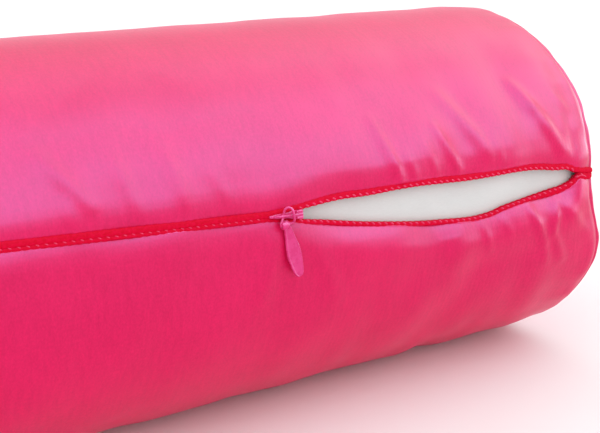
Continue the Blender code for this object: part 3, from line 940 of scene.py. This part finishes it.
def make_rolled_tape(side, material):
    """The zip's tape where it rolls over the coil: a twisted bead along the lip."""
    xs = np.arange(SLIT_START - 0.003, END_SEAM + 0.0004, 0.0005)
    turns = np.linspace(0, 360, 19)[:-1]
    shown = lip_reveal(xs, side) + TAPE_UNDER
    middle = lip_gap(xs, side) + shown / 2
    x, turn = np.meshgrid(xs, turns, indexing="ij")
    twist = 1 + 0.07 * np.cos(2 * pi * x / STITCH_PITCH - side * np.radians(turn))
    wide, high = np.cos(np.radians(turn)), np.sin(np.radians(turn))
    wide = np.sign(wide) * np.abs(wide) ** 0.6
    high = np.sign(high) * np.abs(high) ** 0.6
    across = side * (middle[:, None] + shown[:, None] / 2 * wide * twist)
    lift = -TAPE_DEPTH + TAPE_HIGH * high * twist - lip_sink(x, side)
    lift += 0.0003 * (1 - parted(x, side, 0.0015)) * (side > 0)
    angle = zip_angle(x) + np.degrees(across / RADIUS)
    points = barrel(x, angle, lift + belly(x, angle))
    points[..., 0] += seam_shift(x, angle)
    faces = grid_faces(*angle.shape, wrap=True)
    if side > 0:
        faces = [face[::-1] for face in faces]
    item = add_mesh("rolled_tape_" + WORDS[side], points.reshape(-1, 3), faces, material)
    cloth_uv(item, np.stack((x, np.radians(turn) * 0.001), axis=-1).reshape(-1, 2))
    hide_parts("zip_tape_" + WORDS[side])
    follow_lip(item, np.repeat(parting(xs, side), len(turns)))


def make_stitches(side, material):
    """Slanted stitches over the rolled tape, one to each twist."""
    parts, weights = [], []
    for x in np.arange(SLIT_START + 0.006, END_SEAM - 0.004, STITCH_PITCH):
        shown = float(lip_reveal(x, side))
        proud = float(parted(x, side, 0.0015))
        if SLIDER_X - 0.0075 < x < MOUTH_START:
            continue
        line = []
        for t in np.linspace(-1, 1, 7):
            beyond = 0.45 * min(shown, 0.0018) - side * t * 0.32 * min(shown + 0.0003, 0.0014)
            lift = 0.00008 * proud - 0.0001 - 0.00016 * t * t
            line.append(lip_line(x + t * STITCH_REACH, side, beyond, lift))
        radius = (0.00028 + 0.00010 * proud) * np.sqrt(1 - 0.75 * np.linspace(-1, 1, 7) ** 2)
        parts.append(tube(line, radius, 8))
        weights += [float(parting(x, side))] * len(parts[-1][0])
    if side < 0:
        tail = [lip_line(x, side, 0.0006 + 0.0010 * t, 0.0004 + 0.0022 * t * (1.6 - t))
                for x, t in zip(np.linspace(0.1855, 0.1895, 9), np.linspace(0, 1, 9))]
        parts.append(tube(tail, 0.00022, 6))
        weights += [float(parting(0.1855, side))] * len(parts[-1][0])
    vertices, faces = joined(parts)
    item = add_mesh("stitches_" + WORDS[side], vertices, faces, material)
    follow_lip(item, np.array(weights))


def make_coil_teeth(side, material):
    """The nylon coil behind the tape: one loop after another, hooked towards the mouth."""
    start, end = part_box("zip_coil_upper")[0].x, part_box("zip_coil_upper")[1].x
    count = COIL_STEPS * round((end - start) / COIL_PITCH)
    line = []
    for number in range(count + 1):
        x = start + (end - start) * number / count
        a = 2 * pi * number / COIL_STEPS
        beyond = COIL_ROUND * (2 - cos(a))
        line.append(lip_line(x, side, beyond, -COIL_DEPTH + COIL_ROUND * sin(a)))
    vertices, faces = tube(line, COIL_WIRE, 6)
    item = add_mesh("coil_" + WORDS[side], vertices, faces, material)
    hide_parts("zip_coil_" + WORDS[side])
    follow_lip(item, parting(coordinates(item)[:, 0], side))


# ---- Slider and pull -------------------------------------------------------------------------

SLIDER_LIFT = 0.003
TAB_SLOPE = 6.5
TAB_THICK = 0.0009
TAB_SHIFT = 0.0005
TAB_OUTLINE = (
    (0.0009, 0.0013), (0.0030, 0.0017), (0.0050, 0.0020), (0.0090, 0.0028), (0.0120, 0.00295),
    (0.0152, 0.0025), (0.0175, 0.0021), (0.0188, 0.0017), (0.0195, 0.0011), (0.0198, 0.0005),
)
COLLAR_PROFILE = (
    (-0.00170, 0.00080), (-0.00170, 0.00105), (-0.00150, 0.00138), (-0.00110, 0.00155),
    (0.00090, 0.00150), (0.00118, 0.00126), (0.00130, 0.00100), (0.00130, 0.00080),
)
# The ring's wire in the slider's frame, from inside the tab's collar round and back into it
RING_PATH = (
    (-0.0010, -0.0031, 0.0019), (0.0006, -0.0027, 0.0019), (0.0018, -0.0027, 0.0019),
    (0.0023, -0.0019, 0.0027), (0.0015, 0.0, 0.0042), (0.0010, 0.0021, 0.0041), (0.0, 0.0029, 0.0031),
    (-0.0010, 0.0021, 0.0022), (-0.0015, 0.0, 0.0018), (-0.0020, -0.0013, 0.0018),
    (-0.0026, -0.0024, 0.0018), (-0.00265, -0.0031, 0.0018), (-0.0022, -0.0034, 0.0019),
    (-0.0012, -0.0032, 0.0019),
)


def slider_matrix():
    """The slider's frame: X along the zip, Y up the barrel, Z straight out of it."""
    place = Matrix((ALONG, OUT.cross(ALONG), OUT)).transposed().to_4x4()
    place.translation = BAR - SLIDER_LIFT * OUT
    return place


def tab_matrix():
    """The tab's frame at rest: X along its collar, -Y down its length, Z out of its face."""
    up = OUT.cross(TAB_ACROSS)
    place = Matrix((TAB_ACROSS, up, OUT)).transposed().to_4x4() @ Matrix.Rotation(radians(TAB_SLOPE), 4, "X")
    place.translation = HINGE
    return place


def placed(points, matrix):
    return [tuple(matrix @ Vector(point)) for point in points]


def make_slider(material):
    """The cast slider, with its sharp edges eased as a lacquered casting's are."""
    item = add_node_copy("cast_slider", "slider_body", material)
    remesh = item.modifiers.new("remesh", "REMESH")
    remesh.mode = "VOXEL"
    remesh.voxel_size = 0.00012
    ease = item.modifiers.new("ease", "SMOOTH")
    ease.factor, ease.iterations = 0.5, 3
    apply_modifiers(item)
    item.data.shade_smooth()
    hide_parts("slider_body")
    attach(item, "slider")


def smooth_path(corners, count):
    """Points on a smooth curve through corners."""
    last = len(corners) - 1
    return cubic(np.arange(last + 1), np.array(corners, float), np.linspace(0, last, count * last + 1))


def make_ring(material):
    path = smooth_path(placed(RING_PATH, slider_matrix()), 6)
    vertices, faces = tube(path, RING_WIRE, 14)
    item = add_mesh("wire_ring", vertices, faces, material)
    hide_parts("pull_ring")
    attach(item, "ring")


def tab_blade():
    """The tab's blade: a rounded bar whose front has a raised rim and a shallow dimple."""
    lengths, halves = zip(*TAB_OUTLINE)
    downs = np.concatenate((np.linspace(lengths[0], 0.0190, 48), (0.0193, 0.0195, 0.0197, 0.0198)))
    turns = 2 * pi * np.arange(44) / 44
    across = np.sign(np.cos(turns)) * np.abs(np.cos(turns)) ** 0.6
    out = np.sign(np.sin(turns)) * np.abs(np.sin(turns)) ** 0.3
    half = np.interp(downs, lengths, halves)[:, None]
    x = half * across
    z = TAB_THICK / 2 * out * np.clip(half / 0.0012, 0.3, 1)
    from_edge = half - np.abs(x)
    front = out > 0.5
    rim = 0.00020 * np.exp(-(((from_edge - 0.00030) / 0.00022) ** 2))
    dimple = 0.00022 * np.exp(-(((x + 0.0002) / 0.0009) ** 2) - ((downs[:, None] - 0.0137) / 0.0007) ** 2)
    z = z + front * (rim - dimple)
    points = np.stack((TAB_SHIFT + x, np.broadcast_to(-downs[:, None], x.shape), z), axis=-1).reshape(-1, 3)
    faces = [face[::-1] for face in grid_faces(*x.shape, wrap=True)]
    count = len(turns)
    faces.append(tuple(range(count))[::-1])
    faces.append(tuple(range(len(points) - count, len(points))))
    return points, faces


def tab_collar():
    """The rolled collar: a thick-walled tube with rounded ends, which turns on the ring."""
    turns = 2 * pi * np.arange(30) / 30
    along = np.array([point[0] for point in COLLAR_PROFILE])[:, None]
    radius = np.array([point[1] for point in COLLAR_PROFILE])[:, None]
    points = np.stack(np.broadcast_arrays(along, radius * np.cos(turns), radius * np.sin(turns)), axis=-1)
    rows, columns = points.shape[:2]
    faces = grid_faces(rows, columns, wrap=True)
    last = (rows - 1) * columns
    faces += [(last + j, j, (j + 1) % columns, last + (j + 1) % columns) for j in range(columns)]
    return points.reshape(-1, 3), faces


def make_tab(material):
    vertices, faces = joined((tab_blade(), tab_collar()))
    item = add_mesh("tab_with_collar", placed(vertices, tab_matrix()), faces, material)
    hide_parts("pull_tab")
    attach(item, "tab")


def make_stop(name, side, material):
    """A small crimped clip, pressed down into the zip's edge."""
    item = add_node_copy("clip_" + name, name, material)
    ease = item.modifiers.new("ease", "BEVEL")
    ease.width, ease.segments = 0.00015, 2
    apply_modifiers(item)
    sunk = STOP_SUNK + (lip_sink(SLIT_END - 0.003, side) if side else 0.0)
    set_coordinates(item, coordinates(item) - sunk * np.array(OUT))
    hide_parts(name)
    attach(item, "cover")


# ---- Stage -----------------------------------------------------------------------------------

# Strips of softbox overhead, by their edges along Y, from the camera's side to the back
SOFTBOX_EDGES = (-2.9, -1.2, -0.2, 0.7, 1.5)
SOFTBOX_RADIANCE = (7.4, 5.9, 2.9, 0.9)
STUDIO_LIGHT = 1.2


def make_camera():
    data = bpy.data.cameras.new("camera")
    data.lens = CAMERA_LENS
    data.clip_start = 0.01
    camera = add_object("camera", data)
    camera.location = CAMERA_PLACE
    camera.rotation_euler = CAMERA_FORWARD.to_track_quat("-Z", "Y").to_euler()
    bpy.context.scene.camera = camera


def gloss_light(name, place, aim, size, radiance):
    """A wide softbox that the cloth's gloss reflects; the studio's walls give the even light."""
    data = bpy.data.lights.new(name, "AREA")
    data.shape = "RECTANGLE"
    data.size, data.size_y = size
    data.energy = 4 * size[0] * size[1] * radiance
    data.color = (0.80, 0.96, 1.0)
    light = add_object(name, data)
    light.location = place
    light.rotation_euler = (Vector(aim) - Vector(place)).to_track_quat("-Z", "Y").to_euler()
    light.visible_diffuse = False
    light.visible_camera = False


def make_stage():
    """A pale floor that sweeps up behind, far enough away to stay out of the light."""
    profile = [(-3.0, 0.0), (2.4, 0.0)]
    profile += [(2.4 + sin(radians(a)), 1 - cos(radians(a))) for a in range(15, 91, 15)]
    profile.append((3.4, 3.0))
    points = [(x, y, z) for y, z in profile for x in (-4.0, 4.0)]
    faces = [(2 * i, 2 * i + 1, 2 * i + 3, 2 * i + 2) for i in range(len(profile) - 1)]
    material, tree, shader = new_material("pale_floor", Roughness=0.9, Specular_IOR_Level=0.1)
    place = add_node(tree, "ShaderNodeTexCoord").outputs["Object"]
    paint(tree, shader, noise(tree, place, 3.0), (0.93, 0.93, 0.93), (0.95, 0.95, 0.95))
    add_mesh("floor", points, faces, material)
    world = bpy.data.worlds.new("studio")
    world.use_nodes = True
    background = world.node_tree.nodes["Background"]
    background.inputs["Color"].default_value = (1.0, 1.0, 1.0, 1.0)
    background.inputs["Strength"].default_value = STUDIO_LIGHT
    bpy.context.scene.world = world
    bpy.context.scene.view_settings.view_transform = "Standard"
    for number, radiance in enumerate(SOFTBOX_RADIANCE):
        near, far = SOFTBOX_EDGES[number : number + 2]
        middle = (near + far) / 2
        gloss_light(f"softbox_{number}", (0.0, middle, 1.6), (0.0, middle, 0.0), (6.0, far - near), radiance)
    gloss_light("side_box", (1.6, -0.5, 0.26), (0.0, -0.4, 0.26), (2.0, 0.5), 4.0)


make_camera()
make_stage()
SATEEN = make_sateen()
make_cover(SATEEN)
for end in (1, -1):
    make_end_panel(end, SATEEN)
make_pillow(make_cotton())
make_filling(make_fibre())
TAPE, THREAD, COIL, LACQUER = make_tape(), make_thread(), make_coil(), make_lacquer()
for lip in (1, -1):
    make_rolled_tape(lip, TAPE)
    make_stitches(lip, THREAD)
    make_coil_teeth(lip, COIL)
make_slider(LACQUER)
make_ring(LACQUER)
make_tab(LACQUER)
for stop, lip in (("top_stop_upper", 1), ("top_stop_lower", -1), ("bottom_stop", 0)):
    make_stop(stop, lip, LACQUER)
